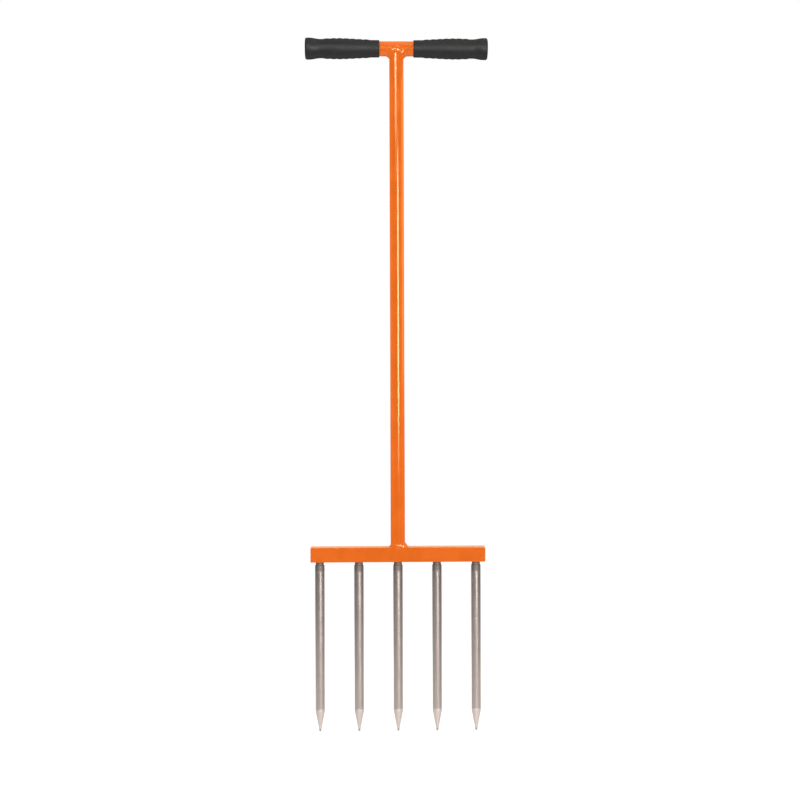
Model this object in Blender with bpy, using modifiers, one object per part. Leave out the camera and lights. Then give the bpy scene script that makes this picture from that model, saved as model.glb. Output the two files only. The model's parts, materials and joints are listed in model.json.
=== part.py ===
"""Soil loosener: a welded T-handled tool with five round steel tines.

Units are metres and +Z is up. The tool faces -Y, with +X to the right of someone
who looks at its front. The origin is at the level of the tine points, in line with
the shaft. Run it with blender --background --python part.py, or from the text editor.
"""

import math

import bmesh
import bpy
from mathutils import Vector

# Clearance between neighbouring pieces
GAP = 0.0003

# Head bar: solid square bar across the tool
BAR_SIDE = 0.022
BAR_OVERHANG = 0.0135  # from an outer tine's axis to the bar's end
BAR_EDGE_RADIUS = 0.001

# Tines: round bar, turned point, turned-down neck and a stud in the head bar
TINE_COUNT = 5
TINE_PITCH = 0.0585
TINE_DIAMETER = 0.014
TINE_REACH = 0.2535  # from the bar's underside to the point
POINT_LENGTH = 0.0305
POINT_BLUNT_RADIUS = 0.0013
NECK_STEP = 0.001  # how far the neck is turned down, on the radius
NECK_SHOWING = 0.0055
STUD_ROOF = 0.006  # steel left over each blind hole

# Shaft: round tube, coped under the handle, square at the foot
SHAFT_DIAMETER = 0.0213
SHAFT_WALL = 0.0026
SHAFT_LENGTH = 0.7465  # from the bar's top face to the handle's axis

# Handle: round tube across the top
HANDLE_DIAMETER = 0.022
HANDLE_WALL = 0.002
HANDLE_SHOWING = 0.051  # bare tube between the two grips

# Grips: rubber sleeves with a closed end. Each wall is measured out from the tube,
# and each place along the grip from its closed end.
GRIP_LENGTH = 0.111
GRIP_END_WALL = 0.004
GRIP_END_ROUND = 0.0025
GRIP_FLARE_AT = 0.0055
GRIP_FLARE_WALL = 0.005
GRIP_WAIST_AT = 0.023
GRIP_WAIST_WALL = 0.003
GRIP_BARREL_AT = 0.048
GRIP_BARREL_WALL = 0.0037
GRIP_LIP_LENGTH = 0.007
GRIP_LIP_WALL = 0.0017
GRIP_LIP_ROUND = 0.0012
GRIP_FIRST_RIB_AT = 0.0325
GRIP_RIB_PITCH = 0.0098
GRIP_RIB_HEIGHT = 0.0007
GRIP_PLAIN_MOUTH = 0.018  # stretch with no ribs, beside the bare tube
RIB_STARTS = 0.66  # ribs fade in where the skin faces this far up or down, from 0 to 1
RIB_FULL = 0.84

# Weld under the handle: legs run along the handle's and the shaft's skins
HANDLE_WELD_ON_HANDLE = 0.0058
HANDLE_WELD_ON_SHAFT = 0.005
HANDLE_WELD_HOLLOW = 0.0010  # how far the bead is drawn in at the sides

# Weld at the shaft's foot: heavier on the +X side, where the welder finished
FOOT_WELD_ON_SHAFT = 0.0058
FOOT_WELD_ON_BAR = 0.0042
FOOT_WELD_BIAS = 0.28
FOOT_WELD_HOLLOW = 0.0003

# Both welds
WELD_CROWN = 0.0017  # how far the bead bulges at the front and the back
WELD_RIPPLES = 16
WELD_RIPPLE_HEIGHT = 0.0002

# Fineness of the faceted solids
TUBE_SIDES = 48
TINE_SIDES = 24
GRIP_SIDES = 28
POINTS_PER_RIB = 4
ARC_STEPS = 3
WELD_STATIONS = 64
WELD_ARC_STEPS = 6
SHARP_ANGLE = math.radians(35)
MERGE_DISTANCE = 0.00001

# Places that follow from the sizes above
BAR_BOTTOM = TINE_REACH
BAR_TOP = BAR_BOTTOM + BAR_SIDE
BAR_LENGTH = (TINE_COUNT - 1) * TINE_PITCH + 2 * BAR_OVERHANG
HANDLE_Z = BAR_TOP + SHAFT_LENGTH
TINE_RADIUS = TINE_DIAMETER / 2
NECK_RADIUS = TINE_RADIUS - NECK_STEP
STUD_TOP = BAR_TOP - STUD_ROOF - GAP
SHAFT_RADIUS = SHAFT_DIAMETER / 2
HANDLE_RADIUS = HANDLE_DIAMETER / 2
HANDLE_HALF = HANDLE_SHOWING / 2 + GRIP_LENGTH - GRIP_END_WALL - GAP

# Share of each tube's radius at which a bead's hidden root lies inside the tubes
ROOT_SHARE = 0.7

# Colour, roughness and metallic value of each finish
ORANGE_PAINT = ("orange_paint", (0.83, 0.152, 0.016), 0.28, 0.0)
BARE_STEEL = ("bare_steel", (0.42, 0.38, 0.35), 0.38, 1.0)
BLACK_RUBBER = ("black_rubber", (0.028, 0.027, 0.028), 0.62, 0.0)


def clear_scene():
    """Removes what is in the scene, such as the startup cube."""
    for obj in list(bpy.data.objects):
        bpy.data.objects.remove(obj, do_unlink=True)


def new_collection(name):
    """A collection linked to the scene."""
    collection = bpy.data.collections.new(name)
    bpy.context.scene.collection.children.link(collection)
    return collection


def material_for(name, finish):
    """A piece's own Principled material."""
    finish_name, colour, roughness, metallic = finish
    material = bpy.data.materials.new(f"{name}_{finish_name}")
    material.use_nodes = True
    shader = material.node_tree.nodes["Principled BSDF"]
    shader.inputs["Base Color"].default_value = (*colour, 1.0)
    shader.inputs["Roughness"].default_value = roughness
    shader.inputs["Metallic"].default_value = metallic
    material.diffuse_color = (*colour, 1.0)
    return material


def add_object(name, mesh, collection):
    """An object with this mesh, in this collection."""
    obj = bpy.data.objects.new(name, mesh)
    collection.objects.link(obj)
    return obj


def as_cutter(obj):
    """Marks a helper that only cuts, and gives it flat faces so that cut edges stay crisp."""
    obj.hide_render = True
    obj.display_type = "WIRE"
    obj.data.shade_flat()
    return obj


def shade(mesh):
    """Smooth faces with crisp corners."""
    mesh.shade_smooth()
    mesh.set_sharp_from_angle(angle=SHARP_ANGLE)


def cut(obj, cutter):
    """Takes the cutter away from the object."""
    boolean = obj.modifiers.new(f"cut_by_{cutter.name}", "BOOLEAN")
    boolean.operation = "DIFFERENCE"
    boolean.solver = "EXACT"
    boolean.object = cutter


def turned(name, profile, sides, collection, closed_loop=False):
    """A shape turned about local Z from (radius, height) points, top to bottom outside."""
    mesh = bpy.data.meshes.new(name)
    points = [(radius, 0.0, height) for radius, height in profile]
    edges = [(i, i + 1) for i in range(len(points) - 1)]
    if closed_loop:
        edges.append((len(points) - 1, 0))
    mesh.from_pydata(points, edges, [])
    obj = add_object(name, mesh, collection)
    screw = obj.modifiers.new("turn", "SCREW")
    screw.axis = "Z"
    screw.angle = math.tau
    screw.steps = sides
    screw.render_steps = sides
    screw.use_merge_vertices = True
    screw.merge_threshold = MERGE_DISTANCE
    graph = bpy.context.evaluated_depsgraph_get()
    obj.data = bpy.data.meshes.new_from_object(obj.evaluated_get(graph))
    obj.modifiers.clear()
    bpy.data.meshes.remove(mesh)
    obj.data.name = name
    shade(obj.data)
    return obj


def tube(name, radius, wall, low, high, collection):
    """An open-ended round tube along local Z."""
    bore = radius - wall
    ring = [(radius, high), (radius, low), (bore, low), (bore, high)]
    return turned(name, ring, TUBE_SIDES, collection, closed_loop=True)


def rod(name, radius, low, high, collection):
    """A plain round bar along local Z."""
    ends = [(0.0, high), (radius, high), (radius, low), (0.0, low)]
    return turned(name, ends, TUBE_SIDES, collection)


def box(name, size, centre, edge_radius, collection):
    """A block with rounded edges."""
    mesh = bpy.data.meshes.new(name)
    shape = bmesh.new()
    bmesh.ops.create_cube(shape, size=1.0)
    bmesh.ops.scale(shape, vec=size, verts=shape.verts)
    bmesh.ops.bevel(
        shape,
        geom=shape.edges[:],
        offset=edge_radius,
        segments=2,
        profile=0.5,
        affect="EDGES",
    )
    bmesh.ops.translate(shape, vec=centre, verts=shape.verts)
    shape.to_mesh(mesh)
    shape.free()
    return add_object(name, mesh, collection)


def lay_along_x(obj, direction, place):
    """Turns local Z to world +X or -X and puts the object at its place."""
    obj.rotation_euler = (0.0, direction * math.pi / 2, 0.0)
    obj.location = place


def tine_axes():
    """The X of each tine, left to right."""
    middle = (TINE_COUNT - 1) / 2
    return [(i - middle) * TINE_PITCH for i in range(TINE_COUNT)]


def tine_profile():
    """A tine from the top of its stud down to its point."""
    blunt = POINT_BLUNT_RADIUS
    to_centre = math.hypot(TINE_RADIUS, POINT_LENGTH - blunt)
    lean = math.atan2(TINE_RADIUS, POINT_LENGTH - blunt)
    half_angle = lean - math.asin(blunt / to_centre)
    shoulder = BAR_BOTTOM - NECK_SHOWING
    profile = [
        (0.0, STUD_TOP),
        (NECK_RADIUS - NECK_STEP, STUD_TOP),
        (NECK_RADIUS, STUD_TOP - NECK_STEP),
        (NECK_RADIUS, shoulder + NECK_STEP),
        (TINE_RADIUS, shoulder),
        (TINE_RADIUS, POINT_LENGTH),
    ]
    for i in range(ARC_STEPS + 1):
        angle = half_angle + (math.pi / 2 - half_angle) * i / ARC_STEPS
        radius = blunt * math.cos(angle) if i < ARC_STEPS else 0.0
        profile.append((radius, blunt - blunt * math.sin(angle)))
    return profile


def make_tines(parts):
    """Five turned tines, each screwed up into the head bar by its stud."""
    for number, x in enumerate(tine_axes(), start=1):
        tine = turned(f"tine_{number}", tine_profile(), TINE_SIDES, parts)
        tine.location.x = x
        tine.data.materials.append(material_for(tine.name, BARE_STEEL))


def make_head_bar(parts, cutters):
    """The square bar, with a blind hole for each stud."""
    size = (BAR_LENGTH, BAR_SIDE, BAR_SIDE)
    centre = (0.0, 0.0, (BAR_BOTTOM + BAR_TOP) / 2)
    bar = box("head_bar", size, centre, BAR_EDGE_RADIUS, parts)
    bar.data.materials.append(material_for(bar.name, ORANGE_PAINT))
    radius = NECK_RADIUS + GAP
    for number, x in enumerate(tine_axes(), start=1):
        low = BAR_BOTTOM - NECK_STEP
        hole = turned(
            f"stud_hole_{number}",
            [(0.0, STUD_TOP + GAP), (radius, STUD_TOP + GAP), (radius, low), (0.0, low)],
            TINE_SIDES,
            cutters,
        )
        hole.location.x = x
        cut(bar, as_cutter(hole))


def make_shaft_tube(parts, handle_skin):
    """The shaft, from the bar's top face up to its cope under the handle."""
    shaft = tube(
        "shaft_tube", SHAFT_RADIUS, SHAFT_WALL, BAR_TOP + GAP, HANDLE_Z, parts
    )
    shaft.data.materials.append(material_for(shaft.name, ORANGE_PAINT))
    cut(shaft, handle_skin)


def make_handle_tube(parts):
    """The tube across the top, whose ends lie inside the grips."""
    handle = tube(
        "handle_tube", HANDLE_RADIUS, HANDLE_WALL, -HANDLE_HALF, HANDLE_HALF, parts
    )
    lay_along_x(handle, 1, (0.0, 0.0, HANDLE_Z))
    handle.data.materials.append(material_for(handle.name, ORANGE_PAINT))


def eased(start, end, share):
    """A value that leaves start and reaches end gently, as share goes from 0 to 1."""
    return start + (end - start) * (1 - math.cos(math.pi * share)) / 2


def grip_wall(at):
    """The grip's smooth wall over the tube, at a distance from its closed end."""
    lip_at = GRIP_LENGTH - GRIP_LIP_LENGTH
    stations = [
        (GRIP_FLARE_AT, GRIP_FLARE_WALL),
        (GRIP_WAIST_AT, GRIP_WAIST_WALL),
        (GRIP_BARREL_AT, GRIP_BARREL_WALL),
        (lip_at, GRIP_LIP_WALL),
    ]
    if at <= GRIP_FLARE_AT:
        return GRIP_FLARE_WALL
    for (start, wall), (end, next_wall) in zip(stations, stations[1:]):
        if at <= end:
            return eased(wall, next_wall, (at - start) / (end - start))
    return GRIP_LIP_WALL


def grip_places():
    """Distances from the closed end at which the outer profile has a point."""
    first = GRIP_FIRST_RIB_AT - GRIP_RIB_PITCH / 2
    last = first + rib_count() * GRIP_RIB_PITCH
    step = GRIP_RIB_PITCH / POINTS_PER_RIB
    ribbed = [first + i * step for i in range(rib_count() * POINTS_PER_RIB + 1)]
    lip_at = GRIP_LENGTH - GRIP_LIP_LENGTH
    flare_out = (GRIP_FLARE_AT + GRIP_WAIST_AT) / 2
    before = [GRIP_FLARE_AT, (GRIP_FLARE_AT + flare_out) / 2, flare_out, GRIP_WAIST_AT]
    places = [at for at in before if at < first - step / 2]
    places += ribbed
    places += [at for at in [(last + lip_at) / 2, lip_at] if at > last + step / 2]
    return places


def rib_count():
    """As many ribs as fit between the first one and the plain mouth."""
    room = GRIP_LENGTH - GRIP_PLAIN_MOUTH - GRIP_FIRST_RIB_AT
    return int(room / GRIP_RIB_PITCH) + 1


def rib_rise(at):
    """How far a rib lifts the surface at a distance from the closed end."""
    along = (at - GRIP_FIRST_RIB_AT) / GRIP_RIB_PITCH
    if not -0.5 <= along <= rib_count() - 0.5:
        return 0.0
    return GRIP_RIB_HEIGHT * (1 + math.cos(math.tau * along)) / 2


def grip_profile():
    """A grip from its closed end, down its outside and back up its bore."""
    end_radius = HANDLE_RADIUS + grip_wall(0.0)
    lip_radius = HANDLE_RADIUS + GRIP_LIP_WALL
    bore = HANDLE_RADIUS + GAP
    lip_round = min(GRIP_LIP_ROUND, lip_radius - bore - GAP)
    profile = [(0.0, GRIP_LENGTH)]
    for i in range(ARC_STEPS + 1):
        angle = math.pi / 2 * (1 - i / ARC_STEPS)
        radius = end_radius - GRIP_END_ROUND * (1 - math.cos(angle))
        profile.append((radius, GRIP_LENGTH - GRIP_END_ROUND * (1 - math.sin(angle))))
    for at in grip_places():
        profile.append((HANDLE_RADIUS + grip_wall(at), GRIP_LENGTH - at))
    for i in range(ARC_STEPS + 1):
        angle = math.pi / 2 * i / ARC_STEPS
        radius = lip_radius - lip_round * (1 - math.cos(angle))
        profile.append((radius, lip_round * (1 - math.sin(angle))))
    profile += [(bore, 0.0), (bore, GRIP_LENGTH - GRIP_END_WALL)]
    profile.append((0.0, GRIP_LENGTH - GRIP_END_WALL))
    return profile


def raise_ribs(mesh):
    """Lifts the ribs, which cross the top and the bottom of the grip only."""
    for vertex in mesh.vertices:
        radius = math.hypot(vertex.co.x, vertex.co.y)
        if radius <= HANDLE_RADIUS + 2 * GAP:
            continue
        upright = (abs(vertex.co.x) / radius - RIB_STARTS) / (RIB_FULL - RIB_STARTS)
        upright = min(max(upright, 0.0), 1.0)
        rise = rib_rise(GRIP_LENGTH - vertex.co.z) * eased(0.0, 1.0, upright)
        vertex.co.x *= (radius + rise) / radius
        vertex.co.y *= (radius + rise) / radius


def make_grips(parts):
    """Two rubber grips, pushed on from the ends of the handle tube."""
    for name, direction in (("grip_left", -1), ("grip_right", 1)):
        grip = turned(name, grip_profile(), GRIP_SIDES, parts)
        raise_ribs(grip.data)
        shade(grip.data)
        lay_along_x(grip, direction, (direction * HANDLE_SHOWING / 2, 0.0, HANDLE_Z))
        grip.data.materials.append(material_for(name, BLACK_RUBBER))


def skins(cutters):
    """The neighbours' outsides, a gap larger, that trim the shaft and the weld beads."""
    handle = rod(
        "handle_skin", HANDLE_RADIUS + GAP, -HANDLE_HALF, HANDLE_HALF, cutters
    )
    lay_along_x(handle, 1, (0.0, 0.0, HANDLE_Z))
    shaft = rod("shaft_skin", SHAFT_RADIUS + GAP, BAR_BOTTOM, HANDLE_Z, cutters)
    size = (BAR_LENGTH + 2 * GAP, BAR_SIDE + 2 * GAP, BAR_SIDE + 2 * GAP)
    centre = (0.0, 0.0, (BAR_BOTTOM + BAR_TOP) / 2)
    bar = box("bar_skin", size, centre, BAR_EDGE_RADIUS + GAP, cutters)
    return as_cutter(handle), as_cutter(shaft), as_cutter(bar)


def saddle_place(angle):
    """Where the shaft meets the handle's unrolled skin: along X and around the tube."""
    across = SHAFT_RADIUS * math.sin(angle)
    turn = math.asin(max(-1.0, min(1.0, across / HANDLE_RADIUS)))
    return Vector((SHAFT_RADIUS * math.cos(angle), HANDLE_RADIUS * turn))


def on_handle(place):
    """A point of the handle's skin from its place on the unrolled skin."""
    turn = place.y / HANDLE_RADIUS
    return Vector(
        (
            place.x,
            HANDLE_RADIUS * math.sin(turn),
            HANDLE_Z - HANDLE_RADIUS * math.cos(turn),
        )
    )


def handle_weld_section(angle):
    """The bead's toe on the handle, its toe on the shaft, and its hidden root."""
    nearby = math.pi / WELD_STATIONS
    along = saddle_place(angle + nearby) - saddle_place(angle - nearby)
    outward = Vector((along.y, -along.x)).normalized()
    meeting = saddle_place(angle)
    on_tube = on_handle(meeting)
    toe = on_handle(meeting + outward * HANDLE_WELD_ON_HANDLE)
    foot = Vector((on_tube.x, SHAFT_RADIUS * math.sin(angle), on_tube.z))
    foot.z -= HANDLE_WELD_ON_SHAFT
    inner = ROOT_SHARE * SHAFT_RADIUS
    across = inner * math.sin(angle)
    depth = math.sqrt(max(HANDLE_RADIUS**2 - across**2, 0.0))
    root = Vector((inner * math.cos(angle), across, HANDLE_Z - ROOT_SHARE * depth))
    return toe, foot, root


def foot_weld_section(angle):
    """The bead's toe on the bar, its toe on the shaft, and its hidden root."""
    weight = 1 + FOOT_WELD_BIAS * math.cos(angle)
    reach = SHAFT_RADIUS + FOOT_WELD_ON_BAR * weight
    across = reach * math.sin(angle)
    half = BAR_SIDE / 2
    past = abs(across) - half
    over = (past + math.hypot(past, 2 * BAR_EDGE_RADIUS)) / 2
    side = math.copysign(abs(across) - over, across)
    toe = Vector((reach * math.cos(angle), side, BAR_TOP - over))
    skin = Vector((math.cos(angle), math.sin(angle), 0.0)) * SHAFT_RADIUS
    foot = skin + Vector((0.0, 0.0, BAR_TOP + FOOT_WELD_ON_SHAFT * weight))
    root = skin * ROOT_SHARE
    root.y = math.copysign(min(abs(root.y), half * ROOT_SHARE), root.y)
    root.z = BAR_TOP - (1 - ROOT_SHARE) * BAR_SIDE
    return toe, foot, root


def weld_bead(name, section, hollow, parts):
    """A closed bead lofted around the shaft through the sections that a function gives."""
    mesh = bpy.data.meshes.new(name)
    shape = bmesh.new()
    rings = []
    for station in range(WELD_STATIONS):
        angle = math.tau * station / WELD_STATIONS
        toe, foot, root = section(angle)
        side = (foot - toe).normalized()
        middle = (toe + foot) / 2 - root
        outward = (middle - side * middle.dot(side)).normalized()
        bulge = -hollow + (WELD_CROWN + hollow) * math.sin(angle) ** 2
        bulge += WELD_RIPPLE_HEIGHT * math.sin(WELD_RIPPLES * angle)
        ring = [shape.verts.new(root)]
        for i in range(WELD_ARC_STEPS + 1):
            share = i / WELD_ARC_STEPS
            rise = 4 * share * (1 - share) * bulge
            ring.append(shape.verts.new(toe.lerp(foot, share) + outward * rise))
        rings.append(ring)
    for ring, following in zip(rings, rings[1:] + rings[:1]):
        for i in range(len(ring)):
            j = (i + 1) % len(ring)
            shape.faces.new((ring[i], ring[j], following[j], following[i]))
    bmesh.ops.recalc_face_normals(shape, faces=shape.faces[:])
    shape.to_mesh(mesh)
    shape.free()
    shade(mesh)
    bead = add_object(name, mesh, parts)
    mesh.materials.append(material_for(name, ORANGE_PAINT))
    return bead


def make_welds(parts, handle_skin, shaft_skin, bar_skin):
    """The saddle bead under the handle and the bead around the shaft's foot."""
    saddle = weld_bead("handle_weld", handle_weld_section, HANDLE_WELD_HOLLOW, parts)
    cut(saddle, handle_skin)
    cut(saddle, shaft_skin)
    foot = weld_bead("foot_weld", foot_weld_section, FOOT_WELD_HOLLOW, parts)
    cut(foot, shaft_skin)
    cut(foot, bar_skin)


def main():
    """Builds the whole tool."""
    clear_scene()
    parts = new_collection("soil_loosener")
    cutters = new_collection("cutters")
    handle_skin, shaft_skin, bar_skin = skins(cutters)
    make_tines(parts)
    make_head_bar(parts, cutters)
    make_shaft_tube(parts, handle_skin)
    make_handle_tube(parts)
    make_grips(parts)
    make_welds(parts, handle_skin, shaft_skin, bar_skin)


main()
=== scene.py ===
"""The look of a soil loosener: a welded T-handled tool with five round steel tines.

Units are metres and +Z is up. The tool faces -Y and stands on its points at the origin.
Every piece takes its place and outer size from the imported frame, and stands for one
node of it. The classes below are the tool's sub-assemblies, its finishes and the studio.
"""

import json
import logging
import math
from collections.abc import Callable, Iterator
from contextlib import contextmanager
from dataclasses import dataclass
from enum import Enum

import bmesh
import bpy
from mathutils import Matrix, Vector

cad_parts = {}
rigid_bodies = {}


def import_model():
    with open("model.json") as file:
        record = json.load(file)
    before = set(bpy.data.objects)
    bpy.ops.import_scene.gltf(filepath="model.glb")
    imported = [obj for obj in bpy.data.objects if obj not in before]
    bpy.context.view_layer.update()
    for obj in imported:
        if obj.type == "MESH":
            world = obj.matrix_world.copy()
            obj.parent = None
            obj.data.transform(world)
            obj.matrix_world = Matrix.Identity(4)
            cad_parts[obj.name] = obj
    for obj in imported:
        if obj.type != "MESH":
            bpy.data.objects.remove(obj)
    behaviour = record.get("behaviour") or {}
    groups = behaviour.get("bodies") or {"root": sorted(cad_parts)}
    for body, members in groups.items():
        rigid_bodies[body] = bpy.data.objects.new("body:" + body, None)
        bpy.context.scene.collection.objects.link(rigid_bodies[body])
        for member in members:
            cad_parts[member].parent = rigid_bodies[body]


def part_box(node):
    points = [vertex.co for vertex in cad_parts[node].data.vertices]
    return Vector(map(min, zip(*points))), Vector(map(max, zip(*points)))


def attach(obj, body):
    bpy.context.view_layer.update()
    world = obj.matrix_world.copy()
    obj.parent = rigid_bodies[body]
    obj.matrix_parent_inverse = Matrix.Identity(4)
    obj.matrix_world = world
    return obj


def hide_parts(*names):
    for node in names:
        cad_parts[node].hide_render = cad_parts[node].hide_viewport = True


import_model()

log = logging.getLogger("soil_loosener")

Piece = bpy.types.Object
Socket = bpy.types.NodeSocket
Colour = tuple[float, float, float]
Span = tuple[float, float]

BODY = "root"
GAP = 0.0003
SMOOTH_ANGLE = math.radians(32)
SHARP_ANGLE = math.radians(60)
SQUARE_ON = 0.99
MERGE_DISTANCE = 0.000002
WHITE = (1.0, 1.0, 1.0)
WARM_CARD = (1.0, 0.86, 0.6)
WARM_LAMP = (1.0, 0.95, 0.82)


class Slot(Enum):
    """The record's material slots."""

    PAINT = "orange_paint"
    STEEL = "bare_steel"
    RUBBER = "black_rubber"


class Axis(Enum):
    """The direction that a round piece lies along."""

    X = Vector((1.0, 0.0, 0.0))
    Z = Vector((0.0, 0.0, 1.0))


class Pick(Enum):
    """What a selection is made of: the edit mode's name, and the mesh's own list of it."""

    CORNERS = ("VERT", "verts")
    EDGES = ("EDGE", "edges")
    FACES = ("FACE", "faces")


@dataclass(frozen=True)
class Station:
    """One ring of a turned shape.

    Args:
        along: place of the ring along the shape's axis.
        radius: the ring's radius.
    """

    along: float
    radius: float


def deselect_everything() -> None:
    """Leaves no object selected."""
    for obj in bpy.context.view_layer.objects:
        obj.select_set(False)


def select_only(piece: Piece) -> None:
    """Selects one piece and makes it active.

    Args:
        piece: the object.
    """
    deselect_everything()
    piece.select_set(True)
    bpy.context.view_layer.objects.active = piece


@contextmanager
def editing(piece: Piece, kind: Pick = Pick.FACES) -> Iterator[None]:
    """Opens a piece in edit mode with nothing selected, and closes it again.

    Args:
        piece: the object to edit.
        kind: what the selections inside will be made of.

    Returns:
        The context for a with block.
    """
    select_only(piece)
    bpy.ops.object.mode_set(mode="EDIT")
    bpy.ops.mesh.select_mode(type=kind.value[0])
    bpy.ops.mesh.select_all(action="DESELECT")
    yield
    bpy.ops.object.mode_set(mode="OBJECT")


def pick(piece: Piece, kind: Pick, wanted: Callable[..., bool]) -> int:
    """Selects parts of the piece that is being edited.

    Args:
        piece: the object in edit mode.
        kind: corners, edges or faces.
        wanted: says of one corner, edge or face whether it is selected.

    Returns:
        How many are selected.
    """
    shape = bmesh.from_edit_mesh(piece.data)
    count = 0
    for element in getattr(shape, kind.value[1]):
        chosen = wanted(element)
        element.select_set(chosen)
        count += chosen
    shape.select_flush_mode()
    bmesh.update_edit_mesh(piece.data)
    return count


def apply_transform(piece: Piece) -> None:
    """Moves a piece's place, turn and size into its mesh."""
    select_only(piece)
    bpy.ops.object.transform_apply(location=True, rotation=True, scale=True)


def new_piece(name: str) -> Piece:
    """Names the primitive that was just added and puts its place into its mesh.

    Args:
        name: the piece's name.

    Returns:
        The piece.
    """
    piece = bpy.context.active_object
    piece.name = name
    piece.data.name = name
    apply_transform(piece)
    return piece


def add_rod(
    name: str, axis: Axis, centre: Vector, radius: float, length: float, sides: int
) -> Piece:
    """Adds a round bar with flat ends.

    Args:
        name: the piece's name.
        axis: the direction that it lies along.
        centre: its middle.
        radius: its radius.
        length: its length.
        sides: how many facets it has.

    Returns:
        The bar, with its place in its mesh.
    """
    deselect_everything()
    bpy.ops.mesh.primitive_cylinder_add(
        vertices=sides,
        radius=radius,
        depth=length,
        end_fill_type="NGON",
        location=centre,
        rotation=axis.value.to_track_quat("Z", "Y").to_euler(),
    )
    return new_piece(name)


def draw_out(name: str, axis: Axis, foot: Vector, stations: list[Station], sides: int) -> Piece:
    """Draws a disc out along an axis, ring by ring, as on a lathe.

    Args:
        name: the piece's name.
        axis: the direction of the axis.
        foot: the point from which the stations are measured.
        stations: the rings in order. A last ring with no radius becomes a point.
        sides: how many facets the shape has.

    Returns:
        The closed shape, with its place in its mesh.
    """
    deselect_everything()
    direction = axis.value
    across = Vector((1.0, 1.0, 1.0)) - direction
    bpy.ops.mesh.primitive_circle_add(
        vertices=sides,
        radius=stations[0].radius,
        fill_type="NGON",
        location=foot + direction * stations[0].along,
        rotation=direction.to_track_quat("Z", "Y").to_euler(),
    )
    piece = new_piece(name)
    with editing(piece):
        pick(piece, Pick.FACES, lambda face: True)
        for start, end in zip(stations, stations[1:]):
            step = direction * (end.along - start.along)
            bpy.ops.mesh.extrude_region_move(TRANSFORM_OT_translate={"value": step})
            if end.radius == 0.0:
                bpy.ops.mesh.merge(type="CENTER")
                continue
            size = direction + across * (end.radius / start.radius)
            middle = foot + direction * end.along
            bpy.ops.transform.resize(value=size, center_override=middle)
    face_outwards(piece)
    return piece


def face_outwards(piece: Piece) -> None:
    """Merges doubled corners and turns every face outwards.

    Args:
        piece: the object.
    """
    with editing(piece):
        bpy.ops.mesh.select_all(action="SELECT")
        bpy.ops.mesh.remove_doubles(threshold=MERGE_DISTANCE)
        bpy.ops.mesh.normals_make_consistent(inside=False)


def bore_through(piece: Piece, axis: Axis, wall: float) -> None:
    """Opens a rod into a tube.

    Args:
        piece: the rod.
        axis: the direction that it lies along.
        wall: the tube's wall.
    """
    with editing(piece):
        pick(piece, Pick.FACES, lambda face: abs(face.normal.dot(axis.value)) > SQUARE_ON)
        bpy.ops.mesh.inset(thickness=wall, use_even_offset=True)
        bpy.ops.mesh.bridge_edge_loops()


def ease_edges(piece: Piece, width: float, segments: int) -> None:
    """Rounds every sharp edge of a piece.

    Args:
        piece: the object.
        width: how far the rounding reaches on each side of the edge.
        segments: how many facets the rounding has.
    """

    def is_sharp(edge: bmesh.types.BMEdge) -> bool:
        """Whether two faces meet at the edge at more than the sharp angle."""
        return len(edge.link_faces) == 2 and edge.calc_face_angle() > SHARP_ANGLE

    with editing(piece, Pick.EDGES):
        if pick(piece, Pick.EDGES, is_sharp):
            bpy.ops.mesh.bevel(offset=width, segments=segments, profile=0.5, affect="EDGES")


def apply_modifier(piece: Piece, kind: str, **settings: object) -> None:
    """Adds a modifier, sets it up and applies it.

    Args:
        piece: the object.
        kind: Blender's name of the modifier's kind.
        settings: the modifier's values.
    """
    modifier = piece.modifiers.new(kind.lower(), kind)
    for name, value in settings.items():
        setattr(modifier, name, value)
    select_only(piece)
    bpy.ops.object.modifier_apply(modifier=modifier.name)


def cut_away(piece: Piece, cutter: Piece) -> None:
    """Takes one solid away from another and removes it."""
    apply_modifier(piece, "BOOLEAN", operation="DIFFERENCE", solver="EXACT", object=cutter)
    bpy.data.objects.remove(cutter, do_unlink=True)


def copy_piece(piece: Piece, name: str, move: Vector) -> Piece:
    """Copies a piece with its own mesh, a step away from the first.

    Args:
        piece: the object to copy.
        name: the copy's name.
        move: how far the copy is from it.

    Returns:
        The copy, with its place in its mesh.
    """
    copy = piece.copy()
    copy.data = piece.data.copy()
    copy.name = name
    copy.data.name = name
    bpy.context.scene.collection.objects.link(copy)
    copy.location = move
    apply_transform(copy)
    return copy


def fit_to_frame(piece: Piece, node: str, material: bpy.types.Material) -> None:
    """Shades and dresses a finished piece, and puts it in its node's place.

    Args:
        piece: the finished object.
        node: the frame's node that it stands for.
        material: its finish.
    """
    select_only(piece)
    bpy.ops.object.shade_smooth_by_angle(angle=SMOOTH_ANGLE)
    apply_modifier(piece, "WEIGHTED_NORMAL", keep_sharp=True)
    piece.data.materials.clear()
    piece.data.materials.append(material)
    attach(piece, BODY)
    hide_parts(node)
    log.info("%s stands for %s, with %d faces", piece.name, node, len(piece.data.polygons))


@dataclass(frozen=True)
class Grain:
    """A soft noise in a finish.

    Args:
        scale: how many waves there are in a metre.
        detail: how many finer layers it has.
        rough: how strong the finer layers are.
        shows: its values between which it goes from no effect to its full effect.
    """

    scale: float
    detail: float = 2.0
    rough: float = 0.5
    shows: Span = (0.3, 0.7)


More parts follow.
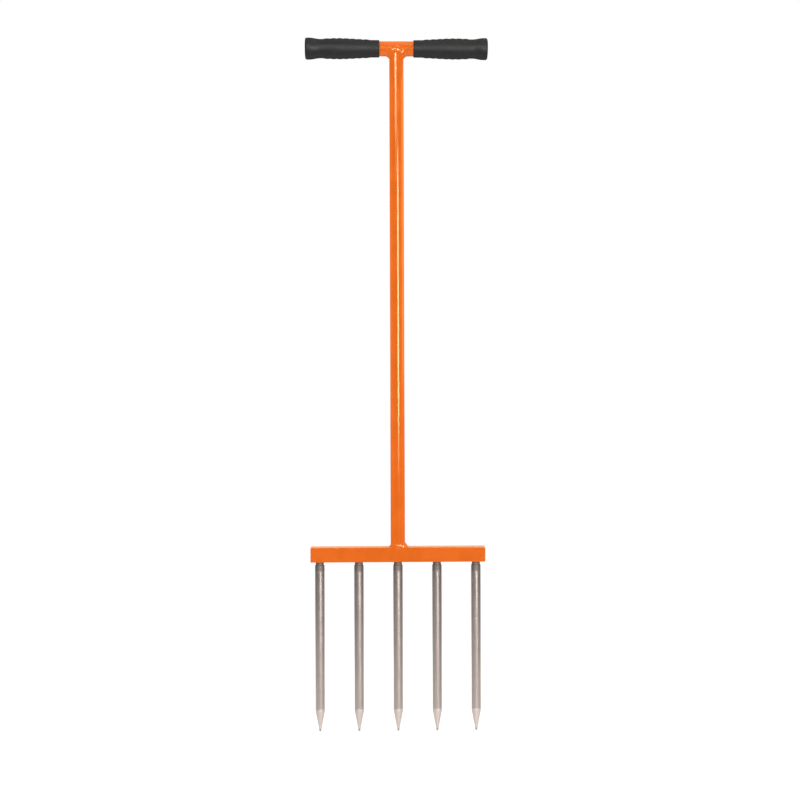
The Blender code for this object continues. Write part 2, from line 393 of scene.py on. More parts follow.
class Recipe:
    """A material's or the world's node tree, with short calls to add and join nodes."""

    def __init__(self, tree: bpy.types.NodeTree) -> None:
        """Empties the tree and keeps it."""
        self.tree = tree
        self.tree.nodes.clear()

    def add(
        self, kind: str, inputs: dict[str | int, object] | None = None, **settings: object
    ) -> bpy.types.Node:
        """Adds a node.

        Args:
            kind: Blender's name of the node's kind, without its ShaderNode prefix.
            inputs: a value, or a socket to join, for each input.
            settings: the node's own values.

        Returns:
            The node.
        """
        node = self.tree.nodes.new(f"ShaderNode{kind}")
        for name, value in settings.items():
            setattr(node, name, value)
        for name, value in (inputs or {}).items():
            if isinstance(value, Socket):
                self.tree.links.new(value, node.inputs[name])
            else:
                node.inputs[name].default_value = value
        return node

    def place(self) -> Socket:
        """The object's own coordinates, in metres."""
        return self.add("TexCoord").outputs["Object"]

    def noise(self, at: Socket, grain: Grain) -> Socket:
        """A soft noise from 0 to 1.

        Args:
            at: the coordinates that it reads.
            grain: its scale and its finer layers.

        Returns:
            The noise's value.
        """
        layers = {"Detail": grain.detail, "Roughness": grain.rough}
        return self.add("TexNoise", {"Vector": at, "Scale": grain.scale, **layers}).outputs["Fac"]

    def stretch(self, at: Socket, scale: tuple[float, float, float]) -> Socket:
        """Coordinates that are stretched along an axis."""
        return self.add("Mapping", {"Vector": at, "Scale": scale}).outputs["Vector"]

    def ramp(
        self, value: Socket, start: float, end: float, low: float = 0.0, high: float = 1.0
    ) -> Socket:
        """A smooth step.

        Args:
            value: what it reads.
            start: where the step begins.
            end: where the step ends.
            low: the result before the step.
            high: the result after the step.

        Returns:
            The result.
        """
        inputs = {"Value": value, "From Min": start, "From Max": end, "To Min": low, "To Max": high}
        return self.add("MapRange", inputs, interpolation_type="SMOOTHSTEP").outputs["Result"]

    def reckon(
        self, operation: str, first: object, second: object = 0.0, third: object = 0.0
    ) -> Socket:
        """The result of a sum with up to three numbers or sockets."""
        node = self.add("Math", {0: first, 1: second, 2: third}, operation=operation)
        return node.outputs["Value"]

    def blend(self, share: object, first: object, second: object) -> Socket:
        """A mix of two colours.

        Args:
            share: how much of the second colour there is.
            first: a colour or a socket.
            second: a colour or a socket.

        Returns:
            The mixed colour.
        """
        inputs = {0: share, 6: first, 7: second}
        return self.add("Mix", inputs, data_type="RGBA").outputs[2]

    def mix(self, share: Socket, first: bpy.types.Node, second: bpy.types.Node) -> bpy.types.Node:
        """A mix of two shaders, with this share of the second one."""
        inputs = {0: share, 1: first.outputs[0], 2: second.outputs[0]}
        return self.add("MixShader", inputs)

    def bump(self, height: Socket, depth: float, under: Socket | None = None) -> Socket:
        """A bumped normal.

        Args:
            height: the relief, from 0 to 1.
            depth: the relief's real depth.
            under: a bumped normal that this one is added to.

        Returns:
            The normal.
        """
        inputs = {"Height": height, "Distance": depth, "Strength": 1.0}
        if under is not None:
            inputs["Normal"] = under
        return self.add("Bump", inputs).outputs["Normal"]

    def surface(self, inputs: dict[str | int, object]) -> None:
        """Ends a material in a principled shader with these inputs."""
        shader = self.add("BsdfPrincipled", inputs)
        self.add("OutputMaterial", {"Surface": shader.outputs["BSDF"]})


def rgba(colour: Colour, strength: float = 1.0) -> tuple[float, float, float, float]:
    """A colour with its brightness changed and an alpha of 1."""
    return (colour[0] * strength, colour[1] * strength, colour[2] * strength, 1.0)


def new_material(name: str) -> tuple[bpy.types.Material, Recipe]:
    """Adds an empty node material.

    Args:
        name: the material's name.

    Returns:
        The material and its recipe.
    """
    material = bpy.data.materials.new(name)
    material.use_nodes = True
    return material, Recipe(material.node_tree)


@dataclass(frozen=True)
class PowderCoat:
    """Glossy orange powder coat, with the fine orange peel that it cures with.

    Args:
        colour: the paint's colour.
        patches: where the coat is thinner or thicker.
        thin: how bright it is where the coat is thin.
        thick: how bright it is where the coat is thick.
        specks: fine specks in it.
        speck_strength: how much of a speck shows.
        speck_shade: how bright a speck is.
        gloss: the skin's specular level.
        sheen: the tint of its gloss seen square on.
        roughness: of its skin, where it is glossiest and where it is dullest.
        roughness_shows: values of the patches between which the roughness changes.
        peel: the orange peel.
        peel_depth: its depth.
        sag: long soft waves under it.
        sag_depth: their depth.
    """

    colour: Colour = (0.81, 0.143, 0.0095)
    patches: Grain = Grain(38.0, 3.0, 0.55, (0.35, 0.65))
    thin: float = 0.96
    thick: float = 1.03
    specks: Grain = Grain(1500.0, 1.0, shows=(0.62, 0.80))
    speck_strength: float = 0.12
    speck_shade: float = 0.7
    gloss: float = 0.6
    sheen: Colour = (1.0, 0.87, 0.5)
    roughness: Span = (0.12, 0.16)
    roughness_shows: Span = (0.3, 0.7)
    peel: Grain = Grain(420.0, 1.5)
    peel_depth: float = 0.0000025
    sag: Grain = Grain(75.0, 1.0)
    sag_depth: float = 0.000012

    def material(self, name: str) -> bpy.types.Material:
        """Mixes the paint for one piece.

        Args:
            name: the material's name.

        Returns:
            The material.
        """
        material, recipe = new_material(name)
        at = recipe.place()
        patches = recipe.noise(at, self.patches)
        colour = recipe.blend(
            recipe.ramp(patches, *self.patches.shows),
            rgba(self.colour, self.thin),
            rgba(self.colour, self.thick),
        )
        specks = recipe.ramp(recipe.noise(at, self.specks), *self.specks.shows)
        share = recipe.reckon("MULTIPLY", specks, self.speck_strength)
        colour = recipe.blend(share, colour, rgba(self.colour, self.speck_shade))
        sag = recipe.bump(recipe.noise(at, self.sag), self.sag_depth)
        peel = recipe.bump(recipe.noise(at, self.peel), self.peel_depth, sag)
        recipe.surface(
            {
                "Base Color": colour,
                "Roughness": recipe.ramp(patches, *self.roughness_shows, *self.roughness),
                "Normal": peel,
                "Specular IOR Level": self.gloss,
                "Specular Tint": rgba(self.sheen),
            }
        )
        return material


@dataclass(frozen=True)
class GroundSteel:
    """Bare ground steel bar with a freshly turned, lighter point.

    Args:
        bar: the bar's colour.
        streaks: the fine streaks along it.
        streak_stretch: how the streaks' pattern is scaled, so that they run along the bar.
        streak_shades: how bright the bar is in dark and in light streaks.
        streak_depth: how deep the streaks are.
        clouds: where the steel is stained.
        stain: the colour of its stains.
        stain_strength: how much of a stain shows.
        bar_shade_colour: painted shade, the darker colour of the tine just under the head bar,
            where the bar's shade falls.
        bar_shade_edge: how far below and above its height the painted shade begins and is full.
        bar_shade_wander: how far its edge wanders up and down.
        point: the turned point's colour.
        turned_edge: half the width of the turned finish's edge.
        dark_tip: the darker colour of the tip's very end.
        dark_tip_from: how far up from the tip the darker colour begins.
        dark_tip_full: how far up it is full.
        bar_roughness: of the ground bar, in its glossy and in its dull streaks.
        roughness_shows: values of the streaks between which the roughness changes.
        dull_roughness: how much rougher the steel is in that stretch under the head bar.
        point_roughness: of the turned point.
        marks: the grinding marks across the bar.
        mark_stretch: how the marks' pattern is scaled, so that they run round the bar.
        mark_depth: how deep the marks are.
    """

    bar: Colour = (0.49, 0.42, 0.385)
    streaks: Grain = Grain(900.0, 3.0, 0.6)
    streak_stretch: tuple[float, float, float] = (1.0, 1.0, 0.03)
    streak_shades: Span = (0.9, 1.08)
    streak_depth: float = 0.000004
    clouds: Grain = Grain(60.0, 4.0, 0.6, (0.55, 0.75))
    stain: Colour = (0.34, 0.28, 0.25)
    stain_strength: float = 0.35
    # Painted shade: a darker colour where the head bar's shade falls on the tine.
    bar_shade_colour: Colour = (0.245, 0.213, 0.195)
    bar_shade_edge: Span = (0.002, 0.006)
    bar_shade_wander: float = 0.004
    point: Colour = (0.655, 0.58, 0.54)
    turned_edge: float = 0.0002
    # The tip's very end is darker.
    dark_tip: Colour = (0.33, 0.32, 0.31)
    dark_tip_from: float = 0.0055
    dark_tip_full: float = 0.0011
    bar_roughness: Span = (0.31, 0.41)
    roughness_shows: Span = (0.2, 0.8)
    dull_roughness: float = 0.32
    point_roughness: float = 0.62
    marks: Grain = Grain(3200.0)
    mark_stretch: tuple[float, float, float] = (0.02, 0.02, 1.0)
    mark_depth: float = 0.000006

    def material(self, name: str, turned_to: float, bar_shade_from: float) -> bpy.types.Material:
        """Finishes the steel of one tine.

        Args:
            name: the material's name.
            turned_to: height up to which the point is turned.
            bar_shade_from: height from which painted shade of the head bar darkens the steel, which
                is also rougher there.

        Returns:
            The material.
        """
        material, recipe = new_material(name)
        at = recipe.place()
        height = recipe.add("SeparateXYZ", {"Vector": at}).outputs["Z"]
        streaks = recipe.noise(recipe.stretch(at, self.streak_stretch), self.streaks)
        clouds = recipe.noise(at, self.clouds)
        stained = recipe.ramp(clouds, *self.clouds.shows)
        stained = recipe.reckon("MULTIPLY", stained, self.stain_strength)
        wobble = recipe.reckon("MULTIPLY_ADD", clouds, self.bar_shade_wander, height)
        below, above = self.bar_shade_edge
        # Mask of the painted shade under the head bar; the same mask makes the steel rougher there.
        shade_and_dullness = recipe.ramp(wobble, bar_shade_from - below, bar_shade_from + above)
        turned = recipe.ramp(height, turned_to + self.turned_edge, turned_to - self.turned_edge)
        # Mask of the darker colour at the tip's very end.
        dark_tip = recipe.ramp(height, self.dark_tip_from, self.dark_tip_full)
        dark, light = (rgba(self.bar, shade) for shade in self.streak_shades)
        colour = recipe.blend(recipe.ramp(streaks, *self.streaks.shows), dark, light)
        for share, tone in (
            (stained, self.stain),
            # The painted shade of the head bar.
            (shade_and_dullness, self.bar_shade_colour),
            (turned, self.point),
            (dark_tip, self.dark_tip),
        ):
            colour = recipe.blend(share, colour, rgba(tone))
        rough = recipe.ramp(streaks, *self.roughness_shows, *self.bar_roughness)
        rough = recipe.reckon("MULTIPLY_ADD", shade_and_dullness, self.dull_roughness, rough)
        rise = recipe.reckon("SUBTRACT", self.point_roughness, rough)
        rough = recipe.reckon("MULTIPLY_ADD", turned, rise, rough)
        marks = recipe.noise(recipe.stretch(at, self.mark_stretch), self.marks)
        ground = recipe.bump(marks, self.mark_depth)
        recipe.surface(
            {
                "Base Color": colour,
                "Metallic": 1.0,
                "Roughness": rough,
                "Normal": recipe.bump(streaks, self.streak_depth, ground),
            }
        )
        return material


@dataclass(frozen=True)
class MouldedRubber:
    """Satin black moulded rubber with a fine matt grain.

    Args:
        colour: the rubber's colour.
        bloom: its colour where it has greyed a little.
        clouds: where it has greyed.
        gloss: its specular level.
        roughness: of the surface, where it is smooth and where it is matt.
        roughness_shows: values of the clouds between which the roughness changes.
        grain: the matt grain.
        grain_depth: how deep the grain is.
    """

    colour: Colour = (0.0118, 0.0115, 0.0117)
    bloom: Colour = (0.0160, 0.0153, 0.0156)
    clouds: Grain = Grain(45.0, 4.0, 0.6, (0.35, 0.75))
    gloss: float = 0.3
    roughness: Span = (0.48, 0.57)
    roughness_shows: Span = (0.3, 0.7)
    grain: Grain = Grain(2600.0, 2.0, 0.6)
    grain_depth: float = 0.00003

    def material(self, name: str) -> bpy.types.Material:
        """Mixes the rubber for one grip.

        Args:
            name: the material's name.

        Returns:
            The material.
        """
        material, recipe = new_material(name)
        at = recipe.place()
        clouds = recipe.noise(at, self.clouds)
        greyed = recipe.ramp(clouds, *self.clouds.shows)
        recipe.surface(
            {
                "Base Color": recipe.blend(greyed, rgba(self.colour), rgba(self.bloom)),
                "Roughness": recipe.ramp(clouds, *self.roughness_shows, *self.roughness),
                "Normal": recipe.bump(recipe.noise(at, self.grain), self.grain_depth),
                "Specular IOR Level": self.gloss,
            }
        )
        return material


@dataclass
class Tubing:
    """The handle tube and the shaft tube, which is coped to sit under it.

    Args:
        paint: the tubes' finish.
        handle_wall: the handle tube's wall.
        shaft_wall: the shaft tube's wall.
        sides: how many facets each tube has.
        eased: how far the handle's cut ends are rounded.
        eased_steps: how many facets that rounding has.
    """

    paint: PowderCoat
    handle_wall: float = 0.002
    shaft_wall: float = 0.0026
    sides: int = 128
    eased: float = 0.0003
    eased_steps: int = 2

    def __post_init__(self) -> None:
        """Takes the tubes' places from the frame."""
        low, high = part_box("handle_tube")
        self.handle_radius = (high.z - low.z) / 2
        self.handle_length = high.x - low.x
        self.handle_centre = (low + high) / 2
        low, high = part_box("shaft_tube")
        self.shaft_radius = (high.x - low.x) / 2
        self.shaft_foot = low.z

    def build_handle(self) -> Piece:
        """Builds the open-ended tube across the top.

        Returns:
            The handle tube.
        """
        handle = add_rod(
            "painted_handle_tube",
            Axis.X,
            self.handle_centre,
            self.handle_radius,
            self.handle_length,
            self.sides,
        )
        bore_through(handle, Axis.X, self.handle_wall)
        ease_edges(handle, self.eased, self.eased_steps)
        face_outwards(handle)
        return handle

    def build_shaft(self) -> Piece:
        """Builds the upright tube, square at its foot and coped at its top.

        Returns:
            The shaft tube.
        """
        length = self.handle_centre.z - self.shaft_foot
        centre = Vector((0.0, 0.0, self.shaft_foot + length / 2))
        shaft = add_rod("painted_shaft_tube", Axis.Z, centre, self.shaft_radius, length, self.sides)
        bore_through(shaft, Axis.Z, self.shaft_wall)
        cope = add_rod(
            "cope_cutter",
            Axis.X,
            self.handle_centre,
            self.handle_radius + GAP,
            4 * self.shaft_radius,
            self.sides,
        )
        cut_away(shaft, cope)
        face_outwards(shaft)
        return shaft

    def assemble(self) -> None:
        """Builds and dresses both tubes."""
        handle = self.build_handle()
        fit_to_frame(handle, "handle_tube", self.paint.material("handle_paint"))
        shaft = self.build_shaft()
        fit_to_frame(shaft, "shaft_tube", self.paint.material("shaft_paint"))


@dataclass
class HeadBar:
    """The solid square bar that carries the tines.

    Args:
        paint: the bar's finish.
        tines: the tines that its holes are for.
        edge_radius: rounding of its edges.
        edge_steps: how many facets that rounding has.
        mouth: chamfer at each hole's mouth.
        sides: how many facets each hole has.
    """

    paint: PowderCoat
    tines: "Tines"
    edge_radius: float = 0.001
    edge_steps: int = 4
    mouth: float = 0.0005
    sides: int = 64

    def build(self) -> Piece:
        """Builds the bar with its rounded edges and blind holes.

        Returns:
            The bar.
        """
        low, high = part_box("head_bar")
        deselect_everything()
        bpy.ops.mesh.primitive_cube_add(size=1.0, location=(low + high) / 2, scale=high - low)
        bar = new_piece("painted_head_bar")
        ease_edges(bar, self.edge_radius, self.edge_steps)
        radius = self.tines.neck_radius + GAP
        underside = low.z - self.tines.centres[0].z
        roof = self.tines.top + GAP
        stations = [
            Station(roof, radius),
            Station(underside + self.mouth, radius),
            Station(underside, radius + self.mouth),
            Station(underside - self.mouth, radius + self.mouth),
        ]
        for number, centre in enumerate(self.tines.centres, start=1):
            hole = draw_out(f"hole_cutter_{number}", Axis.Z, centre, stations, self.sides)
            cut_away(bar, hole)
        return bar

    def assemble(self) -> None:
        """Builds and dresses the bar."""
        fit_to_frame(self.build(), "head_bar", self.paint.material("bar_paint"))


@dataclass
class Tines:
    """Five round tines: a stud, a turned neck, a plain bar and a turned point.

    Args:
        steel: the tines' finish.
        count: how many tines there are.
        neck_step: how far the neck is turned down, on the radius.
        neck_length: how far the neck shows under the bar.
        collar_curve: the rounded corner under the neck, ring by ring: how far over the
            collar's edge and how far inside its radius, in neck steps.
        point_length: from the tip to where the cone begins.
        point_turned: from the tip to the end of the turned finish.
        shoulder: how far the cone's upper corner is rounded, along the axis.
        nose: radius of the blunt tip.
        bar_shade_length: stretch under the bar that gets painted shade and rougher steel.
        sides: how many facets a tine has.
        arc_steps: how many rings the rounded places have.
    """

    steel: GroundSteel
    count: int = 5
    neck_step: float = 0.001
    neck_length: float = 0.0055
    collar_curve: tuple[Span, ...] = ((1.0, 1.0), (0.15, 0.12), (0.0, 0.03), (-0.2, 0.0))
    point_length: float = 0.0305
    point_turned: float = 0.0334
    shoulder: float = 0.003
    nose: float = 0.0013
    # Length of the painted shade under the head bar.
    bar_shade_length: float = 0.015
    sides: int = 64
    arc_steps: int = 6

    def __post_init__(self) -> None:
        """Takes the tines' places from the frame."""
        boxes = [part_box(f"tine_{number}") for number in range(1, self.count + 1)]
        self.centres = []
        for low, high in boxes:
            middle = (low + high) / 2
            self.centres.append(Vector((middle.x, middle.y, low.z)))
        low, high = boxes[0]
        self.radius = (high.x - low.x) / 2
        self.top = high.z - low.z
        self.neck_radius = self.radius - self.neck_step
        self.bar_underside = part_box("head_bar")[0].z - low.z

    def stations(self) -> list[Station]:
        """A tine's rings.

        Returns:
            The rings, from the top of its stud down to its tip.
        """
        step = self.neck_step
        rings = [
            Station(self.top, self.neck_radius - step),
            Station(self.top - step, self.neck_radius),
        ]
        neck_end = self.bar_underside - self.neck_length
        for over, inside in self.collar_curve:
            rings.append(Station(neck_end + over * step, self.radius - inside * step))
        return rings + self.point_rings()

    def point_rings(self) -> list[Station]:
        """The rings of the cone, with its rounded upper corner and its blunt tip.

        Returns:
            The rings, from the top of the cone down.
        """
        run = self.point_length - self.nose
        lean = math.atan2(self.radius, run)
        half_angle = lean - math.asin(self.nose / math.hypot(self.radius, run))
        slope = math.tan(half_angle)
        rings = []
        for i in range(self.arc_steps + 1):
            share = i / self.arc_steps
            below = self.shoulder * (2 * share - 1) / 2
            drop = self.shoulder * slope * share**2 / 2
            rings.append(Station(self.point_length - below, self.radius - drop))
        for i in range(self.arc_steps):
            angle = half_angle + (math.pi / 2 - half_angle) * i / self.arc_steps
            radius = self.nose * math.cos(angle)
            rings.append(Station(self.nose - self.nose * math.sin(angle), radius))
        rings.append(Station(0.0, 0.0))
        return rings

    def assemble(self) -> None:
        """Turns the first tine, copies it along the bar and dresses each one."""
        first = draw_out("steel_tine_1", Axis.Z, self.centres[0], self.stations(), self.sides)
        pieces = [first]
        for number, centre in enumerate(self.centres[1:], start=2):
            pieces.append(copy_piece(first, f"steel_tine_{number}", centre - self.centres[0]))
        foot = self.centres[0].z
        turned_to = foot + self.point_turned
        # Height where the painted shade under the head bar begins.
        bar_shade_from = foot + self.bar_underside - self.bar_shade_length
        for number, piece in enumerate(pieces, start=1):
            material = self.steel.material(f"tine_steel_{number}", turned_to, bar_shade_from)
            fit_to_frame(piece, f"tine_{number}", material)


@dataclass
class Grips:
    """Two rubber grips, pushed on to the handle from its ends.

    Places along a grip are measured from its closed outer end, and walls out from the tube.

    Args:
        rubber: the grips' finish.
        tubing: the handle that they sit on.
        end_wall: thickness of the closed end.
        end_round: rounding of the closed end's rim.
        end_dish: how far the end's middle lies under its rim.
        dish_border: width of the flat round the dish, as a share of the end's radius.
        dish_slope: width of the dish's sloping edge, as a share of the end's radius.
        swells: place and wall of the flare, the waist, the barrel and the mouth.
        lip_round: rounding of the mouth's lip.
        first_rib: place of the first rib's crest.
        rib_pitch: from one rib to the next.
        rib_count: how many ribs there are.
        rib_height: how far the ribs stand out.
        rib_fullness: the power that the ribs' wave is taken to. Less than 1 makes them fuller.
        rib_edge: how far up or down the skin faces where the ribs end, from 0 to 1.
        rib_scallop: how much further up or down they end between two crests.
        rib_fade: how gently they end there.
        ridge_height: height of the fine ridge along the ribs' ends.
        ridge_width: its width, measured as rib_edge is.
        sides: how many facets a grip has.
        ring_step: from ring to ring along the grip.
        arc_steps: how many rings the rounded places have.
    """

    rubber: MouldedRubber
    tubing: Tubing
    end_wall: float = 0.004
    end_round: float = 0.0025
    end_dish: float = 0.0006
    dish_border: float = 0.25
    dish_slope: float = 0.06
    swells: tuple[Span, ...] = (
        (0.0055, 0.005),
        (0.023, 0.003),
        (0.048, 0.0037),
        (0.104, 0.0017),
    )
    lip_round: float = 0.0012
    first_rib: float = 0.0325
    rib_pitch: float = 0.0098
    rib_count: int = 7
    rib_height: float = 0.0007
    rib_fullness: float = 0.7
    rib_edge: float = 0.75
    rib_scallop: float = 0.035
    rib_fade: float = 0.07
    ridge_height: float = 0.00018
    ridge_width: float = 0.02
    sides: int = 120
    ring_step: float = 0.0007
    arc_steps: int = 5

    def wall(self, at: float) -> float:
        """The smooth wall over the tube.

        Args:
            at: place along the grip.

        Returns:
            The wall there.
        """
        first_at, first_wall = self.swells[0]
        if at <= first_at:
            return first_wall
        for (start, wall), (end, next_wall) in zip(self.swells, self.swells[1:]):
            if at <= end:
                share = (1 - math.cos(math.pi * (at - start) / (end - start))) / 2
                return wall + (next_wall - wall) * share
        return self.swells[-1][1]

    def stations(self, length: float) -> list[Station]:
        """A grip's outer rings, from its closed end to its mouth.

        Args:
            length: the grip's length.

        Returns:
            The rings, measured from the closed end.
        """
        tube = self.tubing.handle_radius
        end_radius = tube + self.wall(0.0)
        rings = []
        for i in range(self.arc_steps + 1):
            angle = math.pi / 2 * i / self.arc_steps
            radius = end_radius - self.end_round * (1 - math.sin(angle))
            rings.append(Station(self.end_round * (1 - math.cos(angle)), radius))
        smooth = length - self.end_round - self.lip_round
        steps = round(smooth / self.ring_step)
        for i in range(1, steps):
            at = self.end_round + smooth * i / steps
            rings.append(Station(at, tube + self.wall(at)))
        lip = tube + self.wall(length)
        for i in range(self.arc_steps + 1):
            angle = math.pi / 2 * i / self.arc_steps
            radius = lip - self.lip_round * (1 - math.cos(angle))
            rings.append(Station(length - self.lip_round * (1 - math.sin(angle)), radius))
        return rings

    def relief(self, at: float, upright: float) -> float:
        """How far the ribs and the ridge beside them lift the skin.

        Args:
            at: place along the grip.
            upright: how far up or down the skin faces there, from 0 to 1.

        Returns:
            The lift.
        """
        along = (at - self.first_rib) / self.rib_pitch
        ends = min(along + 0.5, self.rib_count - 0.5 - along)
        if ends <= 0.0:
            return 0.0
        crest = abs(math.cos(math.pi * along)) ** self.rib_fullness
        past_edge = upright - self.rib_edge - self.rib_scallop * (1 - crest)
        share = min(max(past_edge / self.rib_fade + 0.5, 0.0), 1.0)
        lift = self.rib_height * crest * share * share * (3 - 2 * share)
        off = past_edge / self.ridge_width
        ridge = self.ridge_height * math.exp(-off * off) * min(1.0, ends * 2)
        return max(lift, ridge)

    def raise_ribs(self, grip: Piece, outer_end: float, inwards: float) -> None:
        """Moves the grip's skin out where its ribs are.

        Args:
            grip: the smooth grip.
            outer_end: X of its closed end.
            inwards: 1 or -1, the direction of X from there to its mouth.
        """
        axis = self.tubing.handle_centre
        for corner in grip.data.vertices:
            across = Vector((0.0, corner.co.y - axis.y, corner.co.z - axis.z))
            radius = across.length
            if radius <= self.tubing.handle_radius + self.lip_round:
                continue
            at = (corner.co.x - outer_end) * inwards
            lift = self.relief(at, abs(across.z) / radius)
            corner.co += across * (lift / radius)

    def pick_end(self, grip: Piece, place: float) -> None:
        """Selects the flat end of a grip that is being edited.

        Args:
            grip: the grip.
            place: X of the end.
        """

        def is_end(face: bmesh.types.BMFace) -> bool:
            """Whether the face lies in the end."""
            return abs(face.calc_center_median().x - place) < MERGE_DISTANCE

        pick(grip, Pick.FACES, is_end)

    def build(self, name: str, node: str) -> Piece:
        """One grip, with its closed end, its blind bore, its flare and its ribs.

        Args:
            name: the piece's name.
            node: the frame's node that it stands for.

        Returns:
            The grip.
        """
        low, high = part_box(node)
        length = high.x - low.x
        inwards = 1.0 if low.x < 0.0 else -1.0
        outer_end = low.x if inwards > 0 else high.x
        axis = self.tubing.handle_centre
        foot = Vector((outer_end, axis.y, axis.z))
        rings = [Station(ring.along * inwards, ring.radius) for ring in self.stations(length)]
        grip = draw_out(name, Axis.X, foot, rings, self.sides)
        bore = self.tubing.handle_radius + GAP
        lip = self.tubing.handle_radius + self.wall(length) - self.lip_round
        with editing(grip):
            self.pick_end(grip, outer_end + length * inwards)
            bpy.ops.mesh.inset(thickness=lip - bore)
            depth = Vector(((length - self.end_wall) * -inwards, 0.0, 0.0))
            bpy.ops.mesh.extrude_region_move(TRANSFORM_OT_translate={"value": depth})
        rim = self.tubing.handle_radius + self.wall(0.0) - self.end_round
        with editing(grip):
            self.pick_end(grip, outer_end)
            bpy.ops.mesh.inset(thickness=rim * self.dish_border)
            bpy.ops.mesh.inset(thickness=rim * self.dish_slope)
            bpy.ops.transform.translate(value=Vector((self.end_dish * inwards, 0.0, 0.0)))
        face_outwards(grip)
        self.raise_ribs(grip, outer_end, inwards)
        return grip

    def assemble(self) -> None:
        """Builds and dresses both grips."""
        for side in ("left", "right"):
            node = f"grip_{side}"
            grip = self.build(f"rubber_{node}", node)
            fit_to_frame(grip, node, self.rubber.material(f"rubber_{side}"))


@dataclass(frozen=True)
class BeadSection:
    """A weld bead's section at one station round the shaft.

    Args:
        toe: where the bead ends on the tube or bar that the shaft meets.
        foot: where it ends on the shaft.
        corner: the hidden corner between the two.
    """

    toe: Vector
    foot: Vector
    corner: Vector


@dataclass(frozen=True)
class Wave:
    """A wave round a weld bead.

    Args:
        height: how high it is.
        crests: how many crests it has round the bead.
        start: how far it is turned, in radians.
    """

    height: float
    crests: int
    start: float = 0.0

    def at(self, angle: float) -> float:
        """The wave's height at an angle round the bead."""
        return self.height * math.sin(self.crests * angle + self.start)


